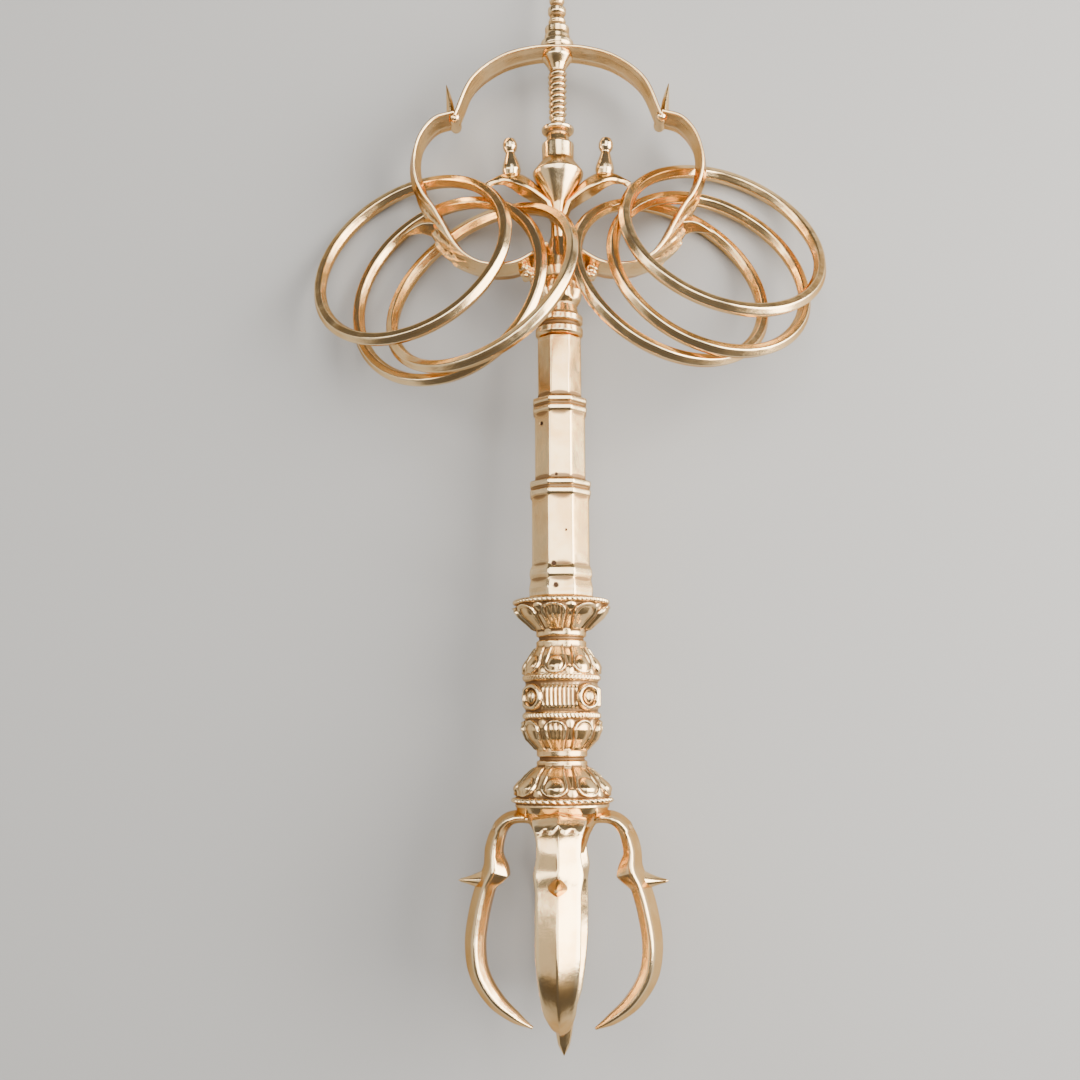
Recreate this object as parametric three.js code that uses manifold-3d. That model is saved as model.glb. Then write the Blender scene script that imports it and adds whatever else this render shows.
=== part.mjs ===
// Small hand-held ringed monk staff of gilt brass, lying at rest on a table.
// Units are millimetres, +Z is up, +Y points along the staff towards its head.
// The staff is drawn round its own axis first: "along" is the distance from the tip of the
// middle prong, "across" is sideways and "rise" is away from the table.
import * as THREE from 'three';
import { mergeVertices } from 'three/addons/utils/BufferGeometryUtils.js';
import Module from 'manifold-3d';

const solidTools = await Module();
solidTools.setup();

// The three castings, end to end
const hiltLength = 92.3;
const shaftLength = 57.1;
const headLength = 90;

// Fits between the castings; an eight sided bar reaches further at its corners than at its flats
const seatGap = 0.3;
const cornerReach = 1 / Math.cos(Math.PI / 8);
const headPegRadius = 3.2;
const headPegLength = 3;
const hiltPegRadius = 4.4;
const hiltPegLength = 4;

// Head ring and its strap
const headRingHalfWidth = 31.9;
const strapThickness = 2.6;
const strapEdge = 0.6;
const strapHalfWidthTop = 3.7;
const strapHalfWidthBottom = 4.8;
const strapSwelling = 1.8;
const stupaRadius = 3.6;
const neckRadius = 5.2;

// Shaft stages, measured to the flats
const lowerStageRadius = 6.1;
const middleStageRadius = 5.4;
const upperStageRadius = 4.7;
const bandRise = 0.4;

// Hilt and prongs
const gripRadius = 8.1;
const prongReach = 18.2;
const prongThickness = 4.8;
const prongCusp = 1.7;
const spurReach = 21.7;
const spurRadius = 2.1;
const middleProngRadius = 2.7;
const gripTurn = THREE.MathUtils.degToRad(-4);
const footTrim = 0.45;

// Loose rings
const ringRadius = 22.6;
const ringBarWidth = 3.1;
const ringBarDepth = 3;
const ringRidge = 0.5;
const roomUnderStrap = 3.4;

// Ends of the castings along the staff
const shaftBottom = hiltLength + seatGap;
const shaftTop = shaftBottom + shaftLength;
const neckBottom = shaftTop + seatGap;

// The carved outlines below are drawn at these sizes, then stretched to the sizes above.
const drawnHiltLength = 92.3;
const drawnGripRadius = 8.1;
const drawnProngReach = 18.2;
const drawnHeadLength = 90;
const drawnHalfWidth = 31.9;
const drawnStupaRadius = 3.6;
const drawnNeckRadius = 5.2;

const hiltAlong = (along) => along * hiltLength / drawnHiltLength;
const headAlong = (along) => neckBottom + along * headLength / drawnHeadLength;
const headAcross = (across) => across * headRingHalfWidth / drawnHalfWidth;
const inHead = ([across, along]) => [headAcross(across), headAlong(along)];

const spurAlong = hiltAlong(34.4);
const crownAlong = headAlong(67.3);
const footOfRingAlong = headAlong(16);

// The staff lies on its rear spur and on the rings that pass under the head ring's strap, so
// the rings' bars and the strap's width set how far its axis slopes down to the head.
const headRestAlong = headAlong(35);
const headRestHeight = strapHalfWidthBottom + ringBarWidth + roomUnderStrap;
const spurDrop = spurReach * Math.cos(gripTurn) - footTrim;
const staffSlope = Math.asin((spurDrop - headRestHeight) / (headRestAlong - spurAlong));

const gold = new THREE.Color().setRGB(0.84, 0.62, 0.36, THREE.SRGBColorSpace);

function makeMesh(name, geometry) {
  const flat = geometry.index ? geometry.toNonIndexed() : geometry;
  flat.computeVertexNormals();
  const material = new THREE.MeshStandardMaterial({ color: gold, roughness: 0.28, metalness: 1 });
  const mesh = new THREE.Mesh(flat, material);
  mesh.name = name;
  return mesh;
}

// Volume enclosed by the triangles, negative when they face inwards.
function signedVolume(points, triangles) {
  const cross = new THREE.Vector3();
  let sum = 0;
  for (let i = 0; i < triangles.length; i += 3) {
    cross.crossVectors(points[triangles[i + 1]], points[triangles[i + 2]]);
    sum += points[triangles[i]].dot(cross);
  }
  return sum / 6;
}

// Skin stretched over rows of points; the rows close into a loop or end in flat caps.
function skinned(rows, isLoop = false) {
  const count = rows[0].length;
  const points = rows.flat();
  const triangles = [];
  const bands = isLoop ? rows.length : rows.length - 1;
  for (let row = 0; row < bands; row += 1) {
    const here = row * count;
    const next = ((row + 1) % rows.length) * count;
    for (let i = 0; i < count; i += 1) {
      const j = (i + 1) % count;
      triangles.push(here + i, here + j, next + j, here + i, next + j, next + i);
    }
  }
  if (!isLoop) {
    const last = (rows.length - 1) * count;
    for (let i = 1; i < count - 1; i += 1) {
      triangles.push(0, i + 1, i, last, last + i, last + i + 1);
    }
  }
  if (signedVolume(points, triangles) < 0) {
    triangles.reverse();
  }
  const geometry = new THREE.BufferGeometry().setFromPoints(points);
  geometry.setIndex(triangles);
  return geometry;
}

function toSolid(geometry) {
  const bare = geometry.clone();
  bare.deleteAttribute('normal');
  bare.deleteAttribute('uv');
  const merged = mergeVertices(bare, 1e-4);
  const mesh = new solidTools.Mesh({
    numProp: 3,
    vertProperties: new Float32Array(merged.attributes.position.array),
    triVerts: new Uint32Array(merged.index.array),
  });
  return new solidTools.Manifold(mesh);
}

function toGeometry(solid) {
  const mesh = solid.getMesh();
  const geometry = new THREE.BufferGeometry();
  geometry.setAttribute('position', new THREE.BufferAttribute(new Float32Array(mesh.vertProperties), 3));
  geometry.setIndex(new THREE.BufferAttribute(new Uint32Array(mesh.triVerts), 1));
  return geometry;
}

// Castings joined into one solid, without the slivers that crossing faces leave.
const joined = (geometries) => solidTools.Manifold.union(geometries.map(toSolid)).simplify(0.02);

// Points round the staff's axis.
function roundRow(radius, along, count, relief = () => 0) {
  return Array.from({ length: count }, (_, i) => {
    const angle = ((i + 0.5) / count) * Math.PI * 2;
    const reach = radius + relief(angle, along);
    return new THREE.Vector3(reach * Math.sin(angle), along, reach * Math.cos(angle));
  });
}

// Body turned round the staff's axis from pairs of radius and place along.
function turned(profile, count, relief) {
  return skinned(profile.map(([radius, along]) => roundRow(radius, along, count, relief)));
}

// Bar with a section carried along a flat route of across and along pairs.
// The section gives pairs of offset beside the route and rise, from the share of the route passed.
function barAlong(route, steps, section) {
  const stations = route.map(([across, along]) => new THREE.Vector3(across, along, 0));
  const curve = new THREE.CatmullRomCurve3(stations);
  const rows = Array.from({ length: steps + 1 }, (_, i) => {
    const share = i / steps;
    const centre = curve.getPointAt(share);
    const ahead = curve.getTangentAt(share);
    const beside = new THREE.Vector3(ahead.y, -ahead.x, 0);
    return section(share, centre).map(([offset, rise]) => new THREE.Vector3(
      centre.x + beside.x * offset,
      centre.y + beside.y * offset,
      rise,
    ));
  });
  return skinned(rows);
}

const mirrored = (route) => route.map(([across, along]) => [-across, along]);
const onSide = (side, route) => (side < 0 ? mirrored(route) : route);

// Strap of the head ring: a lozenge with a ridge along both faces and narrow edges. Its outer
// ridge swells where the lower spur grows.
function strapSection(share, centre) {
  const widening = THREE.MathUtils.clamp((crownAlong - centre.y) / (crownAlong - footOfRingAlong), 0, 1);
  const halfWidth = THREE.MathUtils.lerp(strapHalfWidthTop, strapHalfWidthBottom, widening);
  const ridge = strapThickness / 2;
  const edge = strapEdge / 2;
  const fromSpur = Math.abs(centre.y - headAlong(24)) / (headLength * 0.1);
  const swelling = Math.abs(centre.x) > headAcross(14) ? strapSwelling * Math.max(0, 1 - fromSpur) : 0;
  const outside = -swelling * Math.sign(centre.x);
  return [
    [ridge + Math.max(0, outside), 0], [edge, halfWidth], [-edge, halfWidth],
    [-ridge - Math.max(0, -outside), 0], [-edge, -halfWidth], [edge, -halfWidth],
  ];
}

function headRingStraps() {
  const crownHalf = [[23.1, 50.5], [19.2, 59.6], [12.7, 64.8], [6, 66.9]].map(inHead);
  const crown = [...mirrored(crownHalf), [0, crownAlong], ...crownHalf.reverse()];
  const lobe = [
    [23.2, 51.4], [27.5, 50], [30.5, 46.4], [31.9, 41.4], [31.6, 36.4], [30, 32.4], [27.4, 28.6],
    [25.2, 24.6], [23.4, 21.3], [21, 18.3], [17.6, 16.2], [13.5, 15.6], [9.4, 16.1], [6.2, 17.8], [2.5, 20.5],
  ].map(inHead);
  return [
    barAlong(crown, 18, strapSection),
    barAlong(lobe, 20, strapSection),
    barAlong(mirrored(lobe), 20, strapSection),
  ];
}

// Leaf with a pointed tip, flat in the plane of the ring.
function leafSpur(route, halfThickness, halfRise) {
  return barAlong(route, 5, (share) => {
    const fullness = 0.12 + 0.88 * Math.cos(share * Math.PI / 2) ** 0.8;
    const beside = halfThickness * fullness;
    const rise = halfRise * fullness;
    return [[beside, 0], [0, rise], [-beside, 0], [0, -rise]];
  });
}

function headRingSpurs(side) {
  const upper = [[24, 50.9], [24.4, 55.5], [25.2, 59.9]].map(inHead);
  const lower = [[24.9, 25.6], [29.5, 25.8], [34.4, 24.2]].map(inHead);
  return [leafSpur(onSide(side, upper), 1.1, 1.3), leafSpur(onSide(side, lower), 1.9, 2.6)];
}

// Rounded knot on the inside of each cusp, as long as the strap is wide there.
function cuspKnot(side) {
  const knotRadius = strapThickness / 2;
  const knot = new THREE.CylinderGeometry(knotRadius, knotRadius, strapHalfWidthTop * 1.95, 10);
  knot.rotateX(Math.PI / 2);
  knot.translate(side * headAcross(23.1), headAlong(50.7), 0);
  return knot;
}

// Post up the middle: inverted cone, stupa drums, umbrella disc, ribbed spire and top finial.
function spirePost() {
  const stupa = [
    [1.7, 19], [1.7, 28.5], [2.2, 31], [5.5, 37.4], [5.7, 38.3], [5.1, 39.2], [3.8, 40.9], [3.5, 41.3],
    [3.6, 45.1], [2.7, 45.5], [2.3, 47.7], [3.6, 48.2], [3.7, 48.9], [1.9, 49.6], [1.2, 50], [1.25, 51.2],
  ];
  const ribPitch = 1.4;
  const ribs = Array.from({ length: 8 }, (_, i) => 51.6 + i * ribPitch).flatMap((along) => [
    [1.65, along], [2.15, along + 0.75],
  ]);
  const crown = [[1.7, 62.9], [2.3, 64.2], [3.5, 65.9], [3.5, 68.4], [3.7, 68.6], [3.7, 69.8]];
  const finial = [
    [2.9, 70.1], [2.9, 71.4], [2.65, 71.7], [2.8, 73.4], [1.9, 73.8], [1.75, 74.5], [2.05, 75],
    [1.75, 75.6], [1.5, 76.5], [2.05, 77], [2.05, 78.2], [1.4, 78.7], [1.35, 79.4], [1.75, 79.9],
    [1.7, 80.6], [1.15, 81.1], [1.1, 82], [1.5, 82.5], [1.45, 83.2], [0.9, 83.7], [0.85, 84.6],
    [1.45, 85.8], [1.7, 87], [1.35, 88.3], [0.6, 89.5], [0.15, drawnHeadLength],
  ];
  const profile = [...stupa, ...ribs, ...crown, ...finial];
  const thickness = stupaRadius / drawnStupaRadius;
  return turned(profile.map(([radius, along]) => [radius * thickness, headAlong(along)]), 10);
}

// Neck under the head ring: knobbed collar, double bands and the mouth that takes the shaft's peg.
function neckBody() {
  const knobRise = 0.35;
  const knobs = (angle, along) => {
    const onCollar = along > headAlong(8) && along < headAlong(13);
    return onCollar ? knobRise * Math.sin(6 * angle) : 0;
  };
  const profile = [
    [4.6, 0], [5.2, 0.5], [5.2, 1.9], [4.5, 2.2], [4.5, 2.9], [5.2, 3.2], [5.2, 4.6], [4.3, 5], [3.9, 7.2],
    [4.7, 8.4], [4.9, 10.4], [4.4, 12.4], [3.6, 13.6], [4, 15.5], [3.6, 18], [2.6, 20.5], [1.9, 23],
  ];
  const thickness = neckRadius / drawnNeckRadius;
  return turned(profile.map(([radius, along]) => [radius * thickness, headAlong(along)]), 12, knobs);
}

// Cloud shaped bracket between the strap and the neck.
function neckBracket(side) {
  const bracket = new THREE.SphereGeometry(1, 8, 5);
  bracket.scale(2.4, 1.8, 2.2);
  bracket.translate(side * headAcross(5.6), headAlong(15.4), 0);
  return bracket;
}

// Leaf curling out of the spire's foot, folded along its vein so that both edges bend inwards.
function leafScroll(side) {
  const route = [[0.6, 26], [2.7, 31.4], [5.6, 35.8], [9, 37.9], [12.2, 37.9], [16, 35.6]].map(inHead);
  return barAlong(onSide(side, route), 8, (share) => {
    const halfRise = 1.3 + 2.1 * Math.sin(Math.PI * Math.min(1, share * 1.15)) - 0.5 * share;
    const fold = 2.6 * Math.sin(Math.PI * THREE.MathUtils.clamp(1.35 * share - 0.3, 0, 1));
    return [
      [0.85, 0], [0.35 - fold, halfRise], [-0.45 - fold, halfRise], [-0.6, 0],
      [-0.45 - fold, -halfRise], [0.35 - fold, -halfRise],
    ].map(([offset, rise]) => [-side * offset, rise]);
  });
}

// Small gourd shaped finial standing on a scroll and leaning a little outwards.
function gourd(side) {
  const profile = [
    [1.6, -0.9], [2.05, 0.8], [1.95, 2.4], [1.1, 4.5], [1.6, 5.4], [1.65, 6.6], [1.1, 7.8], [0.3, 8.4],
  ];
  const lean = 0.06;
  const standing = turned(profile, 8);
  standing.rotateZ(-side * lean);
  standing.translate(side * headAcross(10.4), headAlong(38.7), 0);
  return standing;
}

function buildHead() {
  const sides = [-1, 1];
  const solid = joined([
    ...headRingStraps(),
    ...sides.flatMap(headRingSpurs),
    ...sides.map(cuspKnot),
    spirePost(),
    neckBody(),
    ...sides.map(neckBracket),
    ...sides.map(leafScroll),
    ...sides.map(gourd),
  ]);
  const socketRadius = headPegRadius + seatGap * cornerReach;
  const socketTop = shaftTop + headPegLength + seatGap;
  const socket = toSolid(turned([[socketRadius, shaftTop], [socketRadius, socketTop]], 8));
  return makeMesh('staff_head', toGeometry(solid.subtract(socket)));
}

// Two bands side by side round the shaft, each a little proud of the stages on either side.
function doubleBand(below, above, along) {
  const bandWidth = 1.5;
  const groove = 0.6;
  const top = Math.max(below, above) + bandRise;
  return [
    [below, along - bandWidth - groove], [top, along - bandWidth], [top, along - groove / 2],
    [top - bandRise, along], [top, along + groove / 2], [top, along + bandWidth],
    [above, along + bandWidth + groove],
  ];
}

// Eight sided shaft in three stages with doubled bands between, and a peg at each end.
function buildShaft() {
  const lowerBand = shaftBottom + shaftLength * 0.41;
  const upperBand = shaftBottom + shaftLength * 0.73;
  const joint = lowerStageRadius + 0.55;
  const flats = [
    [joint, shaftBottom], [joint + 0.1, shaftBottom + 1.9], [joint - 0.3, shaftBottom + 3.8],
    [joint, shaftBottom + 4.7], [joint - 0.1, shaftBottom + 5.8], [lowerStageRadius, shaftBottom + 6.8],
    ...doubleBand(lowerStageRadius, middleStageRadius, lowerBand),
    ...doubleBand(middleStageRadius, upperStageRadius, upperBand),
    [upperStageRadius, shaftTop],
  ];
  const profile = [
    [hiltPegRadius, shaftBottom - hiltPegLength],
    [hiltPegRadius, shaftBottom],
    ...flats.map(([radius, along]) => [radius * cornerReach, along]),
    [headPegRadius, shaftTop],
    [headPegRadius, shaftTop + headPegLength],
  ];
  return makeMesh('staff_shaft', turned(profile, 8));
}

// Eight petals standing out round a lotus cup, fullest midway between its two ends.
function petalRelief(lowEnd, highEnd, depth) {
  return (angle, along) => {
    const share = (along - hiltAlong(lowEnd)) / (hiltAlong(highEnd) - hiltAlong(lowEnd));
    if (share <= 0 || share >= 1) {
      return 0;
    }
    return depth * Math.sin(share * Math.PI) * (Math.abs(Math.cos(4 * angle)) - 0.4);
  };
}

function hiltBody() {
  const cups = [
    petalRelief(51, 58, 0.9),
    petalRelief(61, 67.4, 0.8),
    petalRelief(76, 82.5, 0.8),
    petalRelief(85.2, 91.4, 1.1),
  ];
  const relief = (angle, along) => cups.reduce((sum, cup) => sum + cup(angle, along), 0);
  const profile = [
    [4.4, 40], [5.6, 43.5], [6.4, 46], [7.8, 47.6], [9.8, 48.4], [10.1, 49.7],
    [9.9, 50], [10.4, 50.3], [10.4, 51], [9.8, 51.4], [9.4, 53.2], [7.6, 55.6], [5.4, 57.5],
    [5.3, 57.7], [5.3, 58.6], [4.7, 59.1], [5.3, 59.6], [5.3, 60.7],
    [5.5, 61.3], [7.1, 63], [8, 65], [7.8, 67], [8.2, 67.4], [8.2, 68.4], [7.8, 68.8],
    [8.1, 70], [8.1, 73.4], [7.8, 74.9], [8.2, 75.3], [8.2, 76.3], [7.7, 78], [6.6, 80.3], [5.4, 82],
    [5.3, 82.3], [5.3, 83.4], [4.7, 84], [5.3, 84.6], [5.3, 85.6],
    [6.3, 86.6], [8.5, 88.6], [9.6, 90.4], [9.8, 91.1], [10.3, 91.4], [10.3, 92], [9.8, drawnHiltLength],
  ];
  const thickness = gripRadius / drawnGripRadius;
  return turned(profile.map(([radius, along]) => [radius * thickness, hiltAlong(along)]), 24, relief);
}

// Round boss on the grip's belt, midway between two prongs.
function beltBoss(quarter) {
  const boss = new THREE.SphereGeometry(1, 8, 4);
  boss.scale(1.9, 2.7, 2.9);
  boss.translate(gripRadius - 0.8, hiltAlong(71.7), 0);
  return boss.rotateY((quarter + 0.5) * Math.PI / 2);
}

// Curved outer prong, roofed outside and flat inside, bending back to the middle prong's tip.
// Its inner face comes to a cusp opposite the spur.
function outerProng() {
  const reach = prongReach / drawnProngReach;
  const route = [
    [4.5, 46.3], [7.8, 47.2], [10.8, 46.8], [13.1, 44.6], [14.3, 41], [14.5, 37], [16, 33.3], [17.4, 28],
    [18.2, 21.5], [17.3, 15.7], [14, 10.5], [10, 7.3], [6.4, 5.3],
  ].map(([out, along]) => [out * reach, hiltAlong(along)]);
  const shares = [0, 0.12, 0.18, 0.25, 0.32, 0.39, 0.49, 0.61, 0.72, 0.83, 0.93, 1];
  const depths = [0.42, 0.5, 0.68, 0.8, 0.86, 0.88, 0.9, 0.9, 0.85, 0.74, 0.5, 0.15];
  const widths = [1.25, 2, 2.05, 2.05, 2.3, 2.1, 2.1, 2.05, 1.8, 1.5, 0.95, 0.25];
  return barAlong(route, 14, (share, centre) => {
    const next = Math.max(1, shares.findIndex((place) => place >= share));
    const blend = (share - shares[next - 1]) / (shares[next] - shares[next - 1]);
    const depth = prongThickness * THREE.MathUtils.lerp(depths[next - 1], depths[next], blend);
    const width = prongThickness * THREE.MathUtils.lerp(widths[next - 1], widths[next], blend);
    const fromCusp = Math.abs(centre.y - hiltAlong(36.5)) / (hiltLength * 0.035);
    const inner = depth / 2 + prongCusp * Math.max(0, 1 - fromCusp);
    return [[-depth / 2, 0], [0.05 * depth, width / 2], [inner, width / 4], [inner, -width / 4],
      [0.05 * depth, -width / 2]];
  });
}

function outerSpur() {
  const root = prongReach * 0.84;
  const spur = new THREE.CylinderGeometry(spurRadius * 0.3, spurRadius, spurReach - root, 8);
  spur.rotateZ(-Math.PI / 2);
  spur.translate((spurReach + root) / 2, spurAlong, 0);
  return spur;
}

function middleProng() {
  const profile = [
    [0.13, 0], [0.45, 2.2], [0.7, 6], [0.89, 14], [1, 26], [1, 33], [1.22, 34.5], [1.04, 36], [1.18, 42],
  ];
  return turned(profile.map(([share, along]) => [share * middleProngRadius, hiltAlong(along)]), 8);
}

// Height of the axis at the middle prong's tip, once the staff slopes down to its head.
const axisHeightAtTip = headRestHeight + headRestAlong * Math.sin(staffSlope);

function layDown(geometry) {
  geometry.rotateX(-staffSlope);
  geometry.translate(0, 0, axisHeightAtTip);
  return geometry;
}

function buildHilt() {
  const prongs = [0, 1, 2, 3].flatMap((turn) => {
    const angle = turn * Math.PI / 2;
    return [outerProng().rotateY(angle), outerSpur().rotateY(angle)];
  });
  const body = joined([hiltBody(), middleProng(), ...[0, 1, 2, 3].map(beltBoss), ...prongs]);
  const turnedBody = body.rotate([0, THREE.MathUtils.radToDeg(gripTurn), 0]);
  const socketRadius = hiltPegRadius + seatGap * cornerReach;
  const socketFloor = hiltLength - hiltPegLength;
  const socket = toSolid(turned([[socketRadius, socketFloor], [socketRadius, shaftBottom]], 8));
  const geometry = layDown(toGeometry(turnedBody.subtract(socket)));
  const aboveTable = toSolid(geometry).trimByPlane([0, 0, 1], 0);
  return makeMesh('vajra_hilt', toGeometry(aboveTable));
}

// Places of the loose rings, drawn from the neck's bottom: each one passes under the head ring's
// side and over its foot, with its outer edge low. The angle risesToward is measured from across
// towards the head, and lift is the height of the ring's low edge above the table.
const drawnRingRadius = 22.6;
const drawnBarWidth = 3.1;
const drawnStrapHeight = 12.7;
const leftRings = [
  { across: -32.6, along: 17.8, tilt: 34.5, risesToward: -50.3, lift: 0.1 },
  { across: -24.6, along: 10.9, tilt: 30.3, risesToward: -37, lift: 0.7 },
  { across: -17.2, along: 10.4, tilt: 42.5, risesToward: -46, lift: 1.4 },
];
const rightRings = [
  { across: 36.2, along: 21.6, tilt: 35.8, risesToward: -115.6, lift: 0.45 },
  { across: 33.2, along: 14.2, tilt: 33, risesToward: -122.6, lift: 0.85 },
  { across: 24.6, along: 12.4, tilt: 35.9, risesToward: -128.7, lift: 0 },
];

// A thicker bar spreads the rings of one side, a larger ring moves its centre away from the head
// ring, a wider head ring carries them along with it, and a taller strap makes them stand steeper.
function ringPose(pose, first) {
  const spread = Math.max(ringBarWidth, ringBarDepth) / drawnBarWidth;
  const larger = ringRadius - drawnRingRadius;
  const wider = headRingHalfWidth - drawnHalfWidth;
  const outward = Math.sign(pose.across) * (0.8 * larger + 0.43 * wider);
  const heightShare = (2 * strapHalfWidthBottom + ringBarWidth) / drawnStrapHeight;
  const steepness = heightShare * drawnRingRadius / ringRadius;
  return {
    across: first.across + (pose.across - first.across) * spread + outward,
    along: headAlong(first.along) + (pose.along - first.along) * spread - 0.65 * larger + 0.3 * wider,
    tilt: Math.asin(Math.min(0.95, Math.sin(THREE.MathUtils.degToRad(pose.tilt)) * steepness)),
    risesToward: THREE.MathUtils.degToRad(pose.risesToward),
    lift: pose.lift * spread,
  };
}

function looseRing(name, pose) {
  const halfWidth = ringBarWidth / 2;
  const halfDepth = ringBarDepth / 2;
  const section = [[halfWidth, 0], [ringRidge, halfDepth], [-ringRidge, halfDepth], [-halfWidth, 0],
    [-ringRidge, -halfDepth], [ringRidge, -halfDepth]];
  const count = 28;
  const rows = Array.from({ length: count }, (_, i) => {
    const angle = (i / count) * Math.PI * 2;
    return section.map(([outward, rise]) => new THREE.Vector3(
      (ringRadius + outward) * Math.cos(angle),
      (ringRadius + outward) * Math.sin(angle),
      rise,
    ));
  });
  const ring = skinned(rows, true);
  ring.rotateY(-pose.tilt);
  ring.rotateZ(pose.risesToward);
  ring.computeBoundingBox();
  ring.translate(pose.across, pose.along, pose.lift - ring.boundingBox.min.z);
  return makeMesh(name, ring);
}

function ringSet(side, poses) {
  return poses.map((pose, i) => looseRing(`loose_ring_${side}_${i + 1}`, ringPose(pose, poses[0])));
}

function laidMesh(mesh) {
  layDown(mesh.geometry);
  return mesh;
}

const staff = new THREE.Group();
staff.name = 'ringed_staff';
staff.add(laidMesh(buildHead()), laidMesh(buildShaft()), buildHilt());
staff.add(...ringSet('left', leftRings), ...ringSet('right', rightRings));

// The origin goes under the middle of the whole object.
const box = new THREE.Box3().setFromObject(staff);
const middle = box.getCenter(new THREE.Vector3());
staff.children.forEach((mesh) => mesh.geometry.translate(-middle.x, -middle.y, -box.min.z));

export default staff;
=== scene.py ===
# %% [markdown]
# # A ringed monk staff in gilt brass
#
# The staff is a short hand-held one, cast in brass and gilded. It lies on a pale table: the hilt
# rests on the spur of its rear prong, and the head rests on the loose rings that hang in it.
# This lesson dresses the plain solids with the carved surface, then lights and frames them. The
# plain solids are the fixed frame: every new surface is fitted to them and rides with them.

import math

import bpy
import numpy as np
from mathutils import Matrix, Vector


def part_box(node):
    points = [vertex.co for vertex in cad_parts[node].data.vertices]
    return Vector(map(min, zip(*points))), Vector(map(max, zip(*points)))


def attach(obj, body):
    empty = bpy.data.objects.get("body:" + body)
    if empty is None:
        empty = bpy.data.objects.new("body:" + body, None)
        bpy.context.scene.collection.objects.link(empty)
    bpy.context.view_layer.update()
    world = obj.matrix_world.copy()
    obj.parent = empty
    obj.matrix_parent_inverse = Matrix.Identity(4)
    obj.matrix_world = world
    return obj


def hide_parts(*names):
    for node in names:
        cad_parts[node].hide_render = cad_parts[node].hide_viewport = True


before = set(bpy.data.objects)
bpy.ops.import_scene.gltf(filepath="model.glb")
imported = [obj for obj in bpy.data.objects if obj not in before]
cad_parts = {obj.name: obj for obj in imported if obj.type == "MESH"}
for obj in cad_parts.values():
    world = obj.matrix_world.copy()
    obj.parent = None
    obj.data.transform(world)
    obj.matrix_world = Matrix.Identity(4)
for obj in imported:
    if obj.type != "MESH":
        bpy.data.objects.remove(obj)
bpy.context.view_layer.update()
MM = 0.001

# %% [markdown]
# ## Where the staff lies
#
# Every carved surface is worked out in the staff's own frame, in millimetres: across to the right,
# along from the tip of the middle prong to the head, and rise away from the table. The hilt stands
# on the rubbed tip of its rear spur and is thicker than the head, so the staff slopes down to its
# head: the slope is the arc sine of the fall between two supports over their distance. One turn
# about the across direction and one shift then bring a point into the shared frame.

# %% Staff frame
TOTAL_LENGTH = 240.0
HILT_LENGTH = 92.3
NECK_BOTTOM = 150.0
SEAT_GAP = 0.3
SHAFT_BOTTOM = HILT_LENGTH + SEAT_GAP
GRIP_TURN = math.radians(-4)
SPUR_ALONG, SPUR_REACH, SPUR_RUBBED = 34.4, 21.7, 0.45
HEAD_REST_ALONG, HEAD_REST_RISE = 185, 11.3


def box_middle(node):
    """The middle of a plain solid's box in metres: half the sum of its two corners."""
    low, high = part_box(node)
    return 0.5 * (np.array(low) + np.array(high))


spur_rise = SPUR_REACH * math.cos(GRIP_TURN) - SPUR_RUBBED
STAFF_SLOPE = math.asin((spur_rise - HEAD_REST_RISE) / (HEAD_REST_ALONG - SPUR_ALONG))
AXIS_X = box_middle("staff_shaft")[0] / MM
AXIS_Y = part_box("staff_head")[1][1] / MM - TOTAL_LENGTH * math.cos(STAFF_SLOPE)
AXIS_Z = HEAD_REST_RISE + HEAD_REST_ALONG * math.sin(STAFF_SLOPE)


def turned(first, second, turn):
    """Two coordinates turned about the third one.

    The first loses the sine's share of the second, the second gains the sine's share of the first,
    and each keeps the cosine's share of itself.
    """
    cos, sin = math.cos(turn), math.sin(turn)
    return first * cos - second * sin, first * sin + second * cos


def about_axis(points, turn):
    """Points turned about the staff's axis, from rise towards across; along stays as it is."""
    across, along, rise = np.moveaxis(points, -1, 0)
    across, rise = turned(across, rise, -turn)
    return np.stack([across, along, rise], axis=-1)


def laid(points):
    """Staff-frame points in millimetres, brought into the shared frame in metres.

    Along and rise are turned by the slope, and then all three are shifted.
    """
    across, along, rise = np.moveaxis(np.asarray(points, float), -1, 0)
    along, rise = turned(along, rise, -STAFF_SLOPE)
    return np.stack([across + AXIS_X, along + AXIS_Y, rise + AXIS_Z], axis=-1) * MM


print(f"slope {math.degrees(STAFF_SLOPE):.2f} degrees, axis {AXIS_Z:.1f} mm up at the prong's tip")

# %% [markdown]
# ## Surfaces from grids
#
# A piece is a grid of points, row after row, where every row is a closed loop. The rows either
# close on themselves, as in a ring, or end in a pole, where the last loop shrinks to one point. A
# grid is quick to work out as whole arrays, and it has no seam to close afterwards.


# %% Grid faces
def grid_faces(rows, columns, wraps):
    """Quads between neighbouring rows: a point, the one beside it, and the two above those.

    Each column joins the next one, and the last joins the first. If the grid wraps, so do rows.
    """
    bands = rows if wraps else rows - 1
    row = np.arange(bands)[:, None]
    column = np.arange(columns)[None, :]
    here = row * columns + column
    beside = row * columns + (column + 1) % columns
    above = ((row + 1) % rows) * columns + column
    above_beside = ((row + 1) % rows) * columns + (column + 1) % columns
    return np.stack([here, beside, above_beside, above], axis=-1).reshape(-1, 4)


def pole_faces(first, columns, pole, reverse):
    """Triangles from one end loop to a single point."""
    column = np.arange(columns)
    here = first + column
    beside = first + (column + 1) % columns
    fan = np.stack([here, beside, np.full(columns, pole)], axis=-1)
    return fan[:, ::-1] if reverse else fan


def signed_volume(points, quads):
    """Sum over the quads of the box product of their corners; positive when they face out."""
    a, b, c, d = (points[quads[:, i]] for i in range(4))
    return float((a * np.cross(b, c)).sum() + (a * np.cross(c, d)).sum()) / 6


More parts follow.
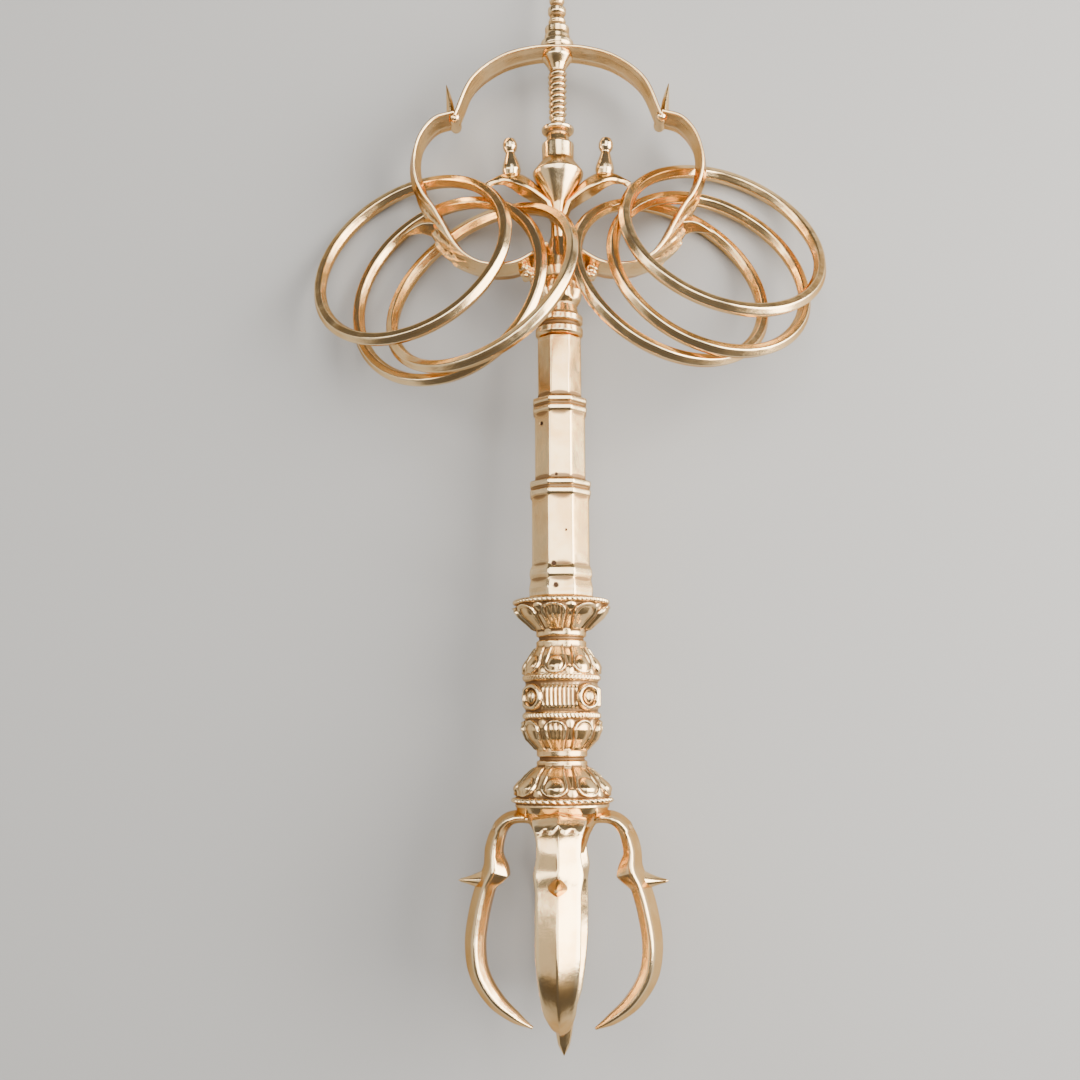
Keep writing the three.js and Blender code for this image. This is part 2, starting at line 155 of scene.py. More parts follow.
print("a grid of 3 rows and 8 columns has", len(grid_faces(3, 8, False)), "quads")

# %% [markdown]
# ## How hollow a surface is
#
# Old lacquer and polish stay in grooves, and ridges wear bright, and the grooves also get painted
# shade. To paint that, each point carries one value: how deep it lies under the mean of its
# neighbours, measured along the normal.


# %% Hollow values
def hollowness(grid, wraps, reach):
    """How far each point lies below the mean of the four points reach steps away, in metres."""
    if wraps:
        before, after = np.roll(grid, reach, axis=0), np.roll(grid, -reach, axis=0)
    else:
        number, last = np.arange(len(grid)), len(grid) - 1
        before = grid[np.clip(number - reach, 0, None)]
        after = grid[np.clip(number + reach, None, last)]
        before = np.where((number < reach)[:, None, None], 2 * grid - after, before)
        after = np.where((number > last - reach)[:, None, None], 2 * grid - before, after)
    left, right = np.roll(grid, reach, axis=1), np.roll(grid, -reach, axis=1)
    normal = np.cross(after - before, right - left)
    normal /= np.linalg.norm(normal, axis=-1, keepdims=True) + 1e-12
    middle = 0.25 * (before + after + left + right)
    return ((middle - grid) * normal).sum(axis=-1)


HOLLOW_REACHES = (2, 5)
FULL_GROOVE = 0.00012
print("a groove counts as full when it is", FULL_GROOVE / MM, "mm deep")

# %% [markdown]
# ## One piece of the staff
#
# Every piece is made the same way. Its faces are turned outwards by the sign of the volume that
# they close, its ends are shut by a fan, and its hollow values are stored. Then it is put on the
# body, and in the place of the plain solid that it dresses.


# %% A piece
def make_piece(name, grids, node, material, wraps=False, groove=FULL_GROOVE):
    """One object from grids of points in the shared frame, each closed at its ends by a point.

    The hollow value of a point is its depth below its neighbours over the depth of a full groove,
    from -1 on a sharp ridge to 1 in a groove.
    """
    all_points, all_faces, all_hollow = [], [], []
    start = 0
    for grid in grids:
        rows, columns = grid.shape[:2]
        points = grid.reshape(-1, 3)
        quads = grid_faces(rows, columns, wraps)
        flip = signed_volume(points - points.mean(axis=0), quads) < 0
        quads = quads[:, ::-1] if flip else quads
        depth = np.stack([hollowness(grid, wraps, reach) for reach in HOLLOW_REACHES]).mean(axis=0)
        depth = np.clip((depth if flip else -depth) / groove, -1, 1).reshape(-1)
        faces = [tuple(face) for face in (quads + start).tolist()]
        if not wraps:
            ends = np.stack([grid[0].mean(axis=0), grid[-1].mean(axis=0)])
            first_fan = pole_faces(0, columns, len(points), not flip)
            last_fan = pole_faces((rows - 1) * columns, columns, len(points) + 1, flip)
            faces += [tuple(face) for face in (first_fan + start).tolist()]
            faces += [tuple(face) for face in (last_fan + start).tolist()]
            points = np.concatenate([points, ends])
            depth = np.concatenate([depth, [depth[0], depth[-1]]])
        all_points.append(points)
        all_faces += faces
        all_hollow.append(depth)
        start += len(points)
    mesh = bpy.data.meshes.new(name)
    mesh.from_pydata(np.concatenate(all_points).tolist(), [], all_faces)
    mesh.polygons.foreach_set("use_smooth", np.ones(len(mesh.polygons), bool))
    attribute = mesh.attributes.new("hollow", "FLOAT", "POINT")
    attribute.data.foreach_set("value", np.concatenate(all_hollow).astype(np.float32))
    mesh.materials.append(material)
    mesh.update()
    piece = bpy.data.objects.new(name, mesh)
    bpy.context.collection.objects.link(piece)
    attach(piece, "root")
    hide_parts(node)
    print(name, len(mesh.polygons), "faces")


print("a fan that closes an end of 8 points has", len(pole_faces(0, 8, 8, False)), "triangles")

# %% [markdown]
# ## Curves, profiles and sections
#
# Three small tools shape nearly everything. A route runs smoothly through a few points, a profile
# has its corners softened as polishing softens them, and a section is a polygon with soft corners.
# A founder would bend and file these; here a few measured points stand for the bends.


# %% Routes
def length_passed(line):
    """The length passed at each point of a line: the running sum of the gaps before it."""
    return np.concatenate([[0], np.cumsum(np.linalg.norm(np.diff(line, axis=0), axis=1))])


def evenly_spaced(line, count):
    """The same line as count points at even steps of length."""
    passed = length_passed(line)
    even = np.linspace(0, passed[-1], count)
    return np.stack([np.interp(even, passed, line[:, k]) for k in (0, 1)], axis=-1)


def parabola(start, corner, end, count):
    """Points of the parabola that leaves start towards the corner and comes to end from it.

    With t the share passed, it is (1 - t) squared of start, 2 t (1 - t) of the corner and t
    squared of end.
    """
    t = np.linspace(0, 1, count)[:, None]
    start, corner, end = (point[..., None, :] for point in (start, corner, end))
    return (1 - t) ** 2 * start + 2 * t * (1 - t) * corner + t ** 2 * end


def smooth_route(points, count):
    """A smooth curve through the points, sampled at even steps of length.

    It is the centripetal Catmull-Rom curve: knots lie as far apart as the root of the distance
    between points, and each stretch is three rounds of straight blends between its neighbours.
    """
    points = np.asarray(points, float)
    padded = np.vstack([2 * points[0] - points[1], points, 2 * points[-1] - points[-2]])
    gaps = np.linalg.norm(np.diff(padded, axis=0), axis=1)
    knots = np.concatenate([[0], np.cumsum(gaps ** 0.5)])
    places = np.linspace(knots[1], knots[-2], 40 * len(points))
    i = np.clip(np.searchsorted(knots, places, side="right") - 1, 1, len(points) - 1)
    t0, t1, t2, t3 = (knots[i + k][:, None] for k in (-1, 0, 1, 2))
    p0, p1, p2, p3 = (padded[i + k] for k in (-1, 0, 1, 2))
    t = places[:, None]
    a1 = (t1 - t) / (t1 - t0) * p0 + (t - t0) / (t1 - t0) * p1
    a2 = (t2 - t) / (t2 - t1) * p1 + (t - t1) / (t2 - t1) * p2
    a3 = (t3 - t) / (t3 - t2) * p2 + (t - t2) / (t3 - t2) * p3
    b1 = (t2 - t) / (t2 - t0) * a1 + (t - t0) / (t2 - t0) * a2
    b2 = (t3 - t) / (t3 - t1) * a2 + (t - t1) / (t3 - t1) * a3
    return evenly_spaced((t2 - t) / (t2 - t1) * b1 + (t - t1) / (t2 - t1) * b2, count)


def smooth_step(value, low, high):
    """0 below low, 1 above high, and three squares less two cubes of the share between."""
    share = np.clip((value - low) / (high - low), 0, 1)
    return share * share * (3 - 2 * share)


print("halfway up a smooth step the value is", float(smooth_step(0.5, 0, 1)))


# %% Sections
def soft_section(corners, radius, per_corner=5, per_side=4):
    """Closed sections from corners, each corner replaced by a parabola that starts radius away.

    The corners have shape stations, count, 2. Each corner gives a few points of its parabola
    and each side a few points between two parabolas, in order round the section.
    """
    following, previous = np.roll(corners, -1, axis=-2), np.roll(corners, 1, axis=-2)
    onward, back = following - corners, previous - corners
    onward_length = np.linalg.norm(onward, axis=-1, keepdims=True)
    back_length = np.linalg.norm(back, axis=-1, keepdims=True)
    leave = corners + onward * np.minimum(radius / onward_length, 0.4)
    arrive = corners + back * np.minimum(radius / back_length, 0.4)
    bend = parabola(arrive, corners, leave, per_corner)
    t = ((np.arange(per_side) + 1) / (per_side + 1))[:, None]
    flat = (1 - t) * leave[..., None, :] + t * np.roll(arrive, -1, axis=-2)[..., None, :]
    loop = np.concatenate([bend, flat], axis=-2)
    return loop.reshape(*corners.shape[:-2], -1, 2)


def even_angles(columns):
    """Angles once round, without repeating the first."""
    return np.arange(columns) * 2 * math.pi / columns


SQUARE = np.array([[(1, 1), (-1, 1), (-1, -1), (1, -1.0)]])
print("a square with soft corners has", soft_section(SQUARE, 0.2).shape[1], "points")


# %% Bars and turned bodies
def beside_route(route):
    """Unit vectors across a flat route: the way ahead turned by a quarter to the right."""
    ahead = np.gradient(route, axis=0)
    ahead /= np.linalg.norm(ahead, axis=1, keepdims=True)
    return np.stack([ahead[:, 1], -ahead[:, 0]], axis=-1)


def flat_bar(route, offset, rise):
    """A bar along a flat route: each point is the route plus its offset beside it, at its rise."""
    beside = beside_route(route)
    across = route[:, None, 0] + beside[:, None, 0] * offset
    along = route[:, None, 1] + beside[:, None, 1] * offset
    return np.stack([across, along, np.broadcast_to(rise, across.shape)], axis=-1)


def turned_body(profile, columns, relief=None):
    """A body turned round the staff's axis from a profile of radius and along.

    Across is the reach times the sine of the angle and rise is the reach times its cosine, where
    the reach is the radius plus a relief of angle and along.
    """
    angle = even_angles(columns)[None, :]
    along = profile[:, 1][:, None] + 0 * angle
    reach = profile[:, 0][:, None] + (0 * angle if relief is None else relief(angle, along))
    return np.stack([reach * np.sin(angle), along, reach * np.cos(angle)], axis=-1)


bar = flat_bar(np.array([(0, 0), (0, 5), (0, 9.0)]), np.ones((3, 8)), np.zeros((3, 8)))
print("a straight bar's first point lies at", bar[0, 0].tolist())

# %% [markdown]
# ## Gilt brass
#
# Gilding wears bright on the ridges and keeps brown lacquer and old polish in the grooves, and the
# grooves also get painted shade in the same brown. Each point knows how hollow its surface is, so
# the brown can follow the carving. Slow noise makes the hand polishing uneven, fine noise gives the
# skin of the casting, and a few cells become pits. The finish is written as sums and products of
# masks, which a small class turns into nodes.


# %% Shader maths
class Shade:
    """A socket in a material; sums and products on it add Math nodes."""

    def __init__(self, tree, socket=None):
        self.tree, self.socket = tree, socket

    def node(self, kind, settings=None, inputs=None, output=0):
        """A new node of one kind, its settings made first, then its sockets linked or set."""
        made = self.tree.nodes.new(kind)
        for name, value in (settings or {}).items():
            setattr(made, name, value)
        for name, value in (inputs or {}).items():
            if isinstance(value, Shade):
                self.tree.links.new(value.socket, made.inputs[name])
            else:
                made.inputs[name].default_value = value
        return Shade(self.tree, made.outputs[output] if made.outputs else None)

    def maths(self, operation, first, second):
        """One Math node: the operation on the two values."""
        return self.node("ShaderNodeMath", {"operation": operation}, {0: first, 1: second})

    def __add__(self, other):
        return self.maths("ADD", self, other)

    def __sub__(self, other):
        return self.maths("SUBTRACT", self, other)

    def __rsub__(self, other):
        return self.maths("SUBTRACT", other, self)

    def __mul__(self, other):
        return self.maths("MULTIPLY", self, other)

    __radd__ = __add__
    __rmul__ = __mul__

    def between(self, low, high):
        """0 below low, 1 above high, and smooth in between."""
        settings = {"interpolation_type": "SMOOTHSTEP", "clamp": True}
        return self.node("ShaderNodeMapRange", settings,
                         {0: self, 1: low, 2: high, 3: 0.0, 4: 1.0})

    def clipped(self):
        """The value, but never below 0 or above 1."""
        settings = {"operation": "ADD", "use_clamp": True}
        return self.node("ShaderNodeMath", settings, {0: self, 1: 0.0})

    def mixed(self, first, second):
        """The first colour where this mask is 0 and the second where it is 1."""
        return self.node("ShaderNodeMix", {"data_type": "RGBA"}, {0: self, 6: first, 7: second}, 2)


print("a mask can be", [name for name in vars(Shade) if not name.startswith("__")])

# %% [markdown]
# ## The finish itself
#
# Two tones of gold drift into each other, worn ridges go paler, hollows go brown with old lacquer
# and painted shade, and pits are nearly black. Roughness follows the same masks, because dirt is
# dull and a rubbed ridge shines.
# The tint of the edges is the same all over: it keeps outlines golden against the pale table.

# %% Tones and scales
GILT_LIGHT = (0.9, 0.635, 0.325, 1)
GILT_DEEP = (0.77, 0.48, 0.2, 1)
GILT_WORN = (0.95, 0.76, 0.47, 1)
# Dark brown of old lacquer in the hollows, which also serves as painted shade there.
PATINA_AND_SHADE = (0.085, 0.033, 0.012, 1)
EDGE_TINT = (0.76, 0.56, 0.37, 1)
PIT_DARK = (0.05, 0.025, 0.015, 1)
SLOW, PATCHY, FINE = 55, 230, 1900
PIT_CELLS = 420.0
SLOW_HEIGHT, FINE_HEIGHT, PIT_DEPTH = 0.00035, 0.000004, 0.00012
for title, scale in (("slow", SLOW), ("patchy", PATCHY), ("fine", FINE)):
    print(title, "noise repeats about every", round(1 / scale / MM, 1), "mm")


# %% Pits
def pit_mask(start, place, centre, patchy, pits, marks):
    """1 in a pit and 0 elsewhere.

    Space is cut into cells, and the share of them given by pits holds a small round pit, which
    fades out with the way from the cell's middle. Up to a hundredth more of them hold a fainter
    one. Marks are the places and sizes of larger pits: a mark is 1 within four fifths of its
    radius and fades to 0 at one and a half times it, and patchy noise makes its outline ragged.
    """
    cells = {"Vector": place, "Scale": PIT_CELLS}
    from_middle = start.node("ShaderNodeTexVoronoi", inputs=cells)
    chosen = start.node("ShaderNodeTexVoronoi", inputs=cells, output=1)
    chance = start.node("ShaderNodeSeparateColor", inputs={0: chosen})
    hole = (1 - from_middle.between(0.08, 0.24)) * (1 - chance.between(pits, pits + 0.01))
    for point, radius in marks:
        centred = tuple(value - middle for value, middle in zip(point, centre))
        away = start.node("ShaderNodeVectorMath", {"operation": "DISTANCE"},
                          {0: place, 1: centred}, 1)
        ragged = away + (patchy - 0.5) * radius
        hole = (hole + 1 - ragged.between(0.8 * radius, 1.5 * radius)).clipped()
    return hole


print("a cell that can hold a pit is about", round(1 / PIT_CELLS / MM, 1), "mm wide")


# %% Gilt finish
def gilt_brass(name, centre, patina_and_shade=1.0, roughness=0.16, pits=0.0, marks=(), uneven=0.04):
    """Polished gilt with brown in its hollows, from old lacquer and from painted shade.

    The brown of lacquer and painted shade follows the hollow value, a little broken up by the
    patchy noise, and worn is its opposite.
    Roughness is the sum of its base and a share of each mask. The bump's height is the sum of
    the noises, each times how high it stands, less the depth of a pit. Uneven is how high in
    millimetres the dints of hand filing stand.
    """
    material = bpy.data.materials.new(name)
    material.use_nodes = True
    tree = material.node_tree
    tree.nodes.clear()
    start = Shade(tree)
    place = start.node("ShaderNodeTexCoord", output=3)
    shift = tuple(-value for value in centre)
    place = start.node("ShaderNodeMapping", inputs={"Vector": place, "Location": shift})
    hollow = start.node("ShaderNodeAttribute", {"attribute_name": "hollow"}, output=2)

    def noise(scale, detail=3.0):
        return start.node("ShaderNodeTexNoise", inputs={
            "Vector": place, "Scale": scale, "Detail": detail, "Roughness": 0.55})

    slow, patchy, fine = noise(SLOW), noise(PATCHY, 4.0), noise(FINE, 2.0)
    # Painted shade in the hollows, together with their old lacquer: the deeper a point lies, the
    # more.
    grime_and_shade = (hollow + (patchy - 0.5) * 0.5).between(0.05, 0.7) * patina_and_shade
    worn = (0.0 - hollow + (patchy - 0.5) * 0.3).between(0.4, 1.1)
    tone = (slow * 0.6 + patchy * 0.4).between(0.4, 0.62)
    colour = tone.mixed(GILT_LIGHT, GILT_DEEP)
    colour = (worn * 0.6).mixed(colour, GILT_WORN)
    # The hollows go brown: old lacquer and painted shade.
    colour = (grime_and_shade * 0.9).mixed(colour, PATINA_AND_SHADE)
    hole = pit_mask(start, place, centre, patchy, pits, marks)
    colour = hole.mixed(colour, PIT_DARK)
    rough = roughness + tone * 0.07 + grime_and_shade * 0.3 + hole * 0.35 + (fine - 0.5) * 0.08
    height = (slow * SLOW_HEIGHT + patchy * (uneven * MM) + fine * FINE_HEIGHT
              - hole * PIT_DEPTH)
    bump = start.node("ShaderNodeBump",
                      inputs={"Strength": 1.0, "Distance": 1.0, "Height": height})
    surface = start.node("ShaderNodeBsdfPrincipled", inputs={
        "Base Color": colour, "Metallic": 1 - grime_and_shade * 0.3 - hole * 0.4, "Roughness": rough,
        "Specular Tint": EDGE_TINT, "Normal": bump})
    start.node("ShaderNodeOutputMaterial", inputs={"Surface": surface})
    return material


print("the finish reads the hollow value of each point")

# %% [markdown]
# ## Three finishes for the castings
#
# Head, shaft and hilt each have their own finish. A pattern is centred on its own casting, so that
# it doesn't depend on where the staff lies. The shaft has the most pits, because its broad flats
# have no carving to hide them, and the five largest have fixed places. The hilt is the most uneven.

# %% Head, shaft and hilt
GILT_HEAD = gilt_brass("gilt_head", box_middle("staff_head"), patina_and_shade=0.95)
SHAFT_MARKS = [((-3.95, 130.0, 3.69), 0.46), ((-1.55, 99.4, 6.1), 0.45),
               ((-1.15, 94.8, 6.6), 0.5), ((1.1, 106.5, 6.0), 0.22), ((-0.9, 118.6, 5.4), 0.25)]
GILT_SHAFT = gilt_brass("gilt_shaft", box_middle("staff_shaft"), patina_and_shade=0.9, pits=0.012,
                        marks=[(tuple(laid(point)), size * MM) for point, size in SHAFT_MARKS])
GILT_HILT = gilt_brass("gilt_hilt", box_middle("vajra_hilt"), roughness=0.17, uneven=0.1)
print("materials:", [material.name for material in bpy.data.materials])

# %% [markdown]
# ## The head ring
#
# The head ring is a strap bent to a crown and two lobes that meet in a cusp on each side. Its
# section is a flat lozenge, so light breaks along a ridge on both faces. Near the lower spurs the
# strap swells and is cut in overlapping leaves. Cast and filed by hand, it is drawn here as that
# section carried along smooth routes, with the leaves as a relief on its outer face.


# %% Strap routes
def head_route(route, side=1):
    """Points measured from the neck's bottom: along is shifted, and side -1 mirrors across."""
    route = np.array(route, float)
    return np.stack([side * route[:, 0], route[:, 1] + NECK_BOTTOM], axis=-1)


CROWN_TOP = 67.3
CROWN_HALF = [(23.1, 50.5), (19.2, 59.6), (12.7, 64.8), (6, 66.9)]
CROWN = [(-x, s) for x, s in CROWN_HALF] + [(0, CROWN_TOP)] + CROWN_HALF[::-1]
LOBE = [(23.2, 51.4), (27.5, 50), (30.5, 46.4), (31.9, 41.4), (31.6, 36.4), (30, 32.4),
        (27.4, 28.6), (25.2, 24.6), (23.4, 21.3), (21, 18.3), (17.6, 16.2), (13.5, 15.6),
        (9.4, 16.1), (6.2, 17.8), (2.5, 20.5)]
LOWEST = 16.0
print("the crown is", 2 * CROWN_HALF[0][0], "mm wide, and a lobe has", len(LOBE), "points")


# %% Strap
SWELLING_AT, SWELLING = 24, 1.9
LEAF_LENGTH, LEAF_SLANT, LEAF_DEPTH = 5.6, 2.1, 0.5


def strap_grid(route, stations):
    """The lozenge widens from the crown down to the foot and swells outside at the lower spur.

    The swelling is a power of the cosine of the way from the spur. Over it lie leaves: the share
    of a leaf passed grows along the strap and falls with the rise, so the edges run aslant, and
    each leaf climbs quickly and then falls away. A slow wave keeps the rest hand made.
    """
    line = smooth_route(route, stations)
    widening = np.clip((NECK_BOTTOM + CROWN_TOP - line[:, 1]) / (CROWN_TOP - LOWEST), 0, 1)
    half_width = (3.7 + 1.1 * widening)[:, None]
    wave = np.sin(np.linspace(0, 23, stations))[:, None]
    from_spur = np.clip(np.abs(line[:, 1] - NECK_BOTTOM - SWELLING_AT) / 10, 0, 1)
    swollen = np.cos(0.5 * math.pi * from_spur) ** 1.3 * smooth_step(np.abs(line[:, 0]), 12, 18)
    outward = -np.sign(line[:, 0])
    swelling = (SWELLING * outward * swollen)[:, None]
    plus = 1.3 + 0.04 * wave + np.clip(swelling, 0, None)
    minus = 1.3 + 0.04 * wave + np.clip(-swelling, 0, None)
    plus_shoulder, minus_shoulder = 0.42 * plus + 0.1, 0.42 * minus + 0.1
    edge = 0.3 + 0.03 * wave
    offset = np.concatenate([plus, plus_shoulder, edge, -edge, -minus_shoulder, -minus,
                             -minus_shoulder, -edge, edge, plus_shoulder], axis=1)
    rise = half_width * np.array([0, 0.56, 1, 1, 0.56, 0, -0.56, -1, -1, -0.56])
    section = soft_section(np.stack([offset, rise], axis=-1), 0.28, 4, 3)
    passed = length_passed(line)[:, None]
    leaf = np.mod(passed / LEAF_LENGTH - np.abs(section[..., 1]) / LEAF_SLANT, 1)
    height = LEAF_DEPTH * smooth_step(leaf, 0, 0.16) * (1 - leaf) ** 0.8 - 0.2
    outside = smooth_step(section[..., 0] * outward[:, None], 0.25, 0.9)
    section[..., 0] += outward[:, None] * outside * height * swollen[:, None]
    return laid(flat_bar(line, section[..., 0], section[..., 1]))


strap_grids = [strap_grid(head_route(CROWN), 220),
               strap_grid(head_route(LOBE), 420),
               strap_grid(head_route(LOBE, -1), 420)]
make_piece("head_strap", strap_grids, "staff_head", GILT_HEAD)

# %% [markdown]
# ## Cusps and spurs
#
# At each cusp a small roll covers the joint of crown and lobe, and a thin spur stands on it. A
# stouter one leaves the swollen part of each lobe. They are leaf shaped: a lozenge that runs out
# to a point. Their roots lie inside the strap, so they look cast in one with it.


# %% Cusps and spurs
def leaf_grid(route, half_thickness, half_rise, stations=60):
    """A lozenge times a power of the cosine of the way passed, so it runs out to a point.

    At the root it starts at a fifth of that, which keeps it inside the strap.
    """
    line = smooth_route(route, stations)
    share = np.linspace(0, 1, stations)
    fullness = 0.05 + 0.95 * np.clip(np.cos(share * math.pi / 2), 0, 1) ** 0.8
    fullness *= 0.2 + 0.8 * smooth_step(share, 0, 0.16)
    shape = np.array([(1, 0), (0, 1), (-1, 0), (0, -1)], float)
    corners = shape * np.array([half_thickness, half_rise]) * fullness[:, None, None]
    section = soft_section(corners, 0.25)
    return laid(flat_bar(line, section[..., 0], section[..., 1]))


def knot_grid(side):
    """A small roll where crown and lobe meet, standing across the strap's whole width.

    Its radius is the root of one less the ninth power of the share of its height, so both ends
    are domed, and it is a tenth slimmer at the middle and the ends than between them.
    """
    share = np.linspace(-1, 1, 61)
    reach = KNOT_RADIUS * (1 - np.abs(share) ** 9) ** 0.5
    reach = reach * (1 - 0.1 * np.cos(share * math.pi) ** 2) + 0.02
    angle = even_angles(32)[None, :]
    across = side * KNOT_ACROSS + reach[:, None] * np.cos(angle)
    along = KNOT_ALONG + reach[:, None] * np.sin(angle)
    rise = np.broadcast_to(KNOT_HALF_HEIGHT * share[:, None], across.shape)
    return laid(np.stack([across, along, rise], axis=-1))


KNOT_ACROSS, KNOT_ALONG = 23.1, NECK_BOTTOM + 50.7
KNOT_RADIUS, KNOT_HALF_HEIGHT = 1.32, 3.62
UPPER_SPUR = [(24, 50.9), (24.4, 55.5), (25.2, 59.9)]
LOWER_SPUR = [(25.1, 25.3), (29.9, 26.0), (34.4, 24.2)]
spur_grids = [leaf_grid(head_route(UPPER_SPUR, side), 1.1, 1.3) for side in (-1, 1)]
spur_grids += [leaf_grid(head_route(LOWER_SPUR, side), 2.4, 2.7) for side in (-1, 1)]
spur_grids += [knot_grid(side) for side in (-1, 1)]
make_piece("head_spurs", spur_grids, "staff_head", GILT_HEAD)

# %% [markdown]
# ## The small tower inside the ring
#
# A trumpet shaped lotus carries drums, a disc and a screw-like spire, and the finial goes on above
# the crown. All of it is turned work, so one profile of radius and height is swept round the axis,
# with its corners eased as a buff eases them. The finial ends in a bud.

# %% Tower
TOWER_FOOT = [(1.7, 19), (1.7, 28.5), (2.2, 31), (5.5, 37.4), (5.7, 38.3), (5.1, 39.2), (3.8, 40.9),
              (3.5, 41.3), (3.6, 45.1), (2.7, 45.5), (2.3, 47.7), (3.6, 48.2), (3.7, 48.9),
              (1.9, 49.6), (1.5, 50.2)]
TOWER_CROWN = [(1.7, 62.9), (2.3, 64.2), (3.5, 65.9), (3.5, 68.4), (3.7, 68.6), (3.7, 69.8)]
FINIAL = [(2.9, 70.1), (2.9, 71.4), (2.65, 71.7), (2.8, 73.4), (1.9, 73.8), (1.75, 74.5),
          (2.05, 75), (1.75, 75.6), (1.5, 76.5), (2.05, 77), (2.05, 78.2), (1.4, 78.7),
          (1.35, 79.4), (1.75, 79.9), (1.7, 80.6), (1.15, 81.1), (1.1, 82), (1.5, 82.5),
          (1.45, 83.2), (0.9, 83.7), (0.85, 84.6), (1.45, 85.8), (1.7, 87), (1.35, 88.3),
          (0.6, 89.5), (0.1, 89.95)]
THREAD_START, THREAD_PITCH, THREAD_HEIGHT = 51.4, 1.4, 0.5


def profile_rows(profile, spacing, start=NECK_BOTTOM, cut=0.22):
    """A turned profile in rows of an even spacing, each corner replaced by a parabola.

    The parabola starts and ends at most cut away from its corner.
    """
    line = np.array(profile, float) + np.array([0, start])
    ahead = np.diff(line, axis=0)
    length = np.linalg.norm(ahead, axis=1, keepdims=True)
    step = ahead / length * np.minimum(cut, 0.4 * length)
    corners = line[1:-1]
    bends = parabola(corners - step[:-1], corners, corners + step[1:], 5).reshape(-1, 2)
    curve = np.vstack([line[:1], bends, line[-1:]])
    return evenly_spaced(curve, int(length_passed(curve)[-1] / spacing) + 2)


def spire_thread(angle, along):
    """One thread winding up the spire: a wave of height over pitch less the share of a turn.

    It fades in at the spire's foot and out below the crown.
    """
    turns = (along - NECK_BOTTOM - THREAD_START) / THREAD_PITCH - angle / (2 * math.pi)
    wave = 1 - 2 * np.abs(turns - np.floor(turns) - 0.5) * 1.15
    fade = smooth_step(along, NECK_BOTTOM + 50.6, NECK_BOTTOM + 51.6)
    fade = fade * (1 - smooth_step(along, NECK_BOTTOM + 62.2, NECK_BOTTOM + 63))
    return THREAD_HEIGHT * np.clip(wave, 0, 1) ** 0.8 * fade


tower_profile = profile_rows(TOWER_FOOT + TOWER_CROWN + FINIAL, 0.16)
tower = turned_body(tower_profile, 72, spire_thread)
make_piece("head_tower", [laid(tower)], "staff_head", GILT_HEAD)

# %% [markdown]
# ## Scrolls and gourds
#
# Two leaves curl out of the tower's foot and each carries a gourd shaped finial. A leaf would be
# beaten hollow and bent over, so its section is a folded blade that opens and closes on the way.


# %% Scrolls and gourds
SCROLL = [(0.6, 26), (2.7, 31.4), (5.6, 35.8), (9, 37.9), (12.2, 37.9), (16, 35.6)]
GOURD = [(1.7, -0.9), (2.1, 0.3), (2.0, 1.3), (1.55, 2.8), (1.15, 4.1), (0.95, 4.7), (1.2, 5.0),
         (1.62, 5.7), (1.62, 6.8), (1.2, 7.8), (0.05, 8.35)]


def scroll_grid(side, stations=150):
    """A leaf folded along its vein, carried along its route.

    Its edges rise by a sine of the way passed and bend inwards by another.
    """
    line = smooth_route(head_route(SCROLL, side), stations)
    share = np.linspace(0, 1, stations)[:, None]
    half_rise = 1.3 + 2.1 * np.sin(math.pi * np.minimum(1, 1.15 * share)) - 0.5 * share
    half_rise = half_rise * (1 - 0.75 * smooth_step(share, 0.86, 1.0))
    fold = 2.6 * np.sin(math.pi * np.clip(1.35 * share - 0.3, 0, 1))
    shape = np.array([(0.85, 0, 0), (0.6, 0.45, 0.5), (0.35, 1, 1), (-0.45, 1, 1),
                      (-0.75, 0.4, 0.5), (-0.6, 0, 0), (-0.75, 0.4, -0.5), (-0.45, 1, -1),
                      (0.35, 1, -1), (0.6, 0.45, -0.5)], float)
    offset = side * (shape[:, 0] + shape[:, 1] * fold)
    corners = np.stack([offset, shape[:, 2] * half_rise], axis=-1)
    section = soft_section(corners, 0.22)
    return laid(flat_bar(line, section[..., 0], section[..., 1]))


def gourd_grid(side):
    """A turned gourd set on its scroll, after a small turn about the rise that leans it out."""
    body = turned_body(profile_rows(GOURD, 0.16, start=0), 40)
    across, along, rise = np.moveaxis(body, -1, 0)
    across, along = turned(across, along, -GOURD_LEAN * side)
    return laid(np.stack([across + side * GOURD_ACROSS, along + GOURD_FOOT, rise], axis=-1))


GOURD_ACROSS, GOURD_FOOT, GOURD_LEAN = 10.4, NECK_BOTTOM + 38.7, 0.06
scroll_grids = [scroll_grid(side) for side in (-1, 1)]
scroll_grids += [gourd_grid(side) for side in (-1, 1)]
make_piece("head_scrolls", scroll_grids, "staff_head", GILT_HEAD)

# %% [markdown]
# ## The knobbed neck
#
# A collar of six knobs and two bands holds the head on the shaft, and small curled clouds join it
# to the foot of the strap. The clouds are heaped from ovals, as wax pellets are heaped on a model.

# %% Neck
NECK = [(4.6, 0), (5.2, 0.5), (5.2, 1.9), (4.5, 2.2), (4.5, 2.9), (5.2, 3.2), (5.2, 4.6), (4.3, 5),
        (3.9, 7.2), (4.7, 8.4), (4.9, 10.4), (4.4, 12.4), (3.6, 13.6), (4, 15.5), (3.6, 18),
        (2.6, 20.5), (1.9, 23)]
KNOB_MIDDLE = NECK_BOTTOM + 10.4


def neck_knobs(angle, along):
    """Six round knobs on the collar: a wave of six turns of the angle, times a dome of height."""
    round_share = 0.5 + 0.5 * np.sin(6 * angle)
    high_share = np.clip(1 - ((along - KNOB_MIDDLE) / 2.3) ** 2, 0, 1)
    return 0.75 * (round_share ** 0.7 - 0.55) * high_share ** 0.6


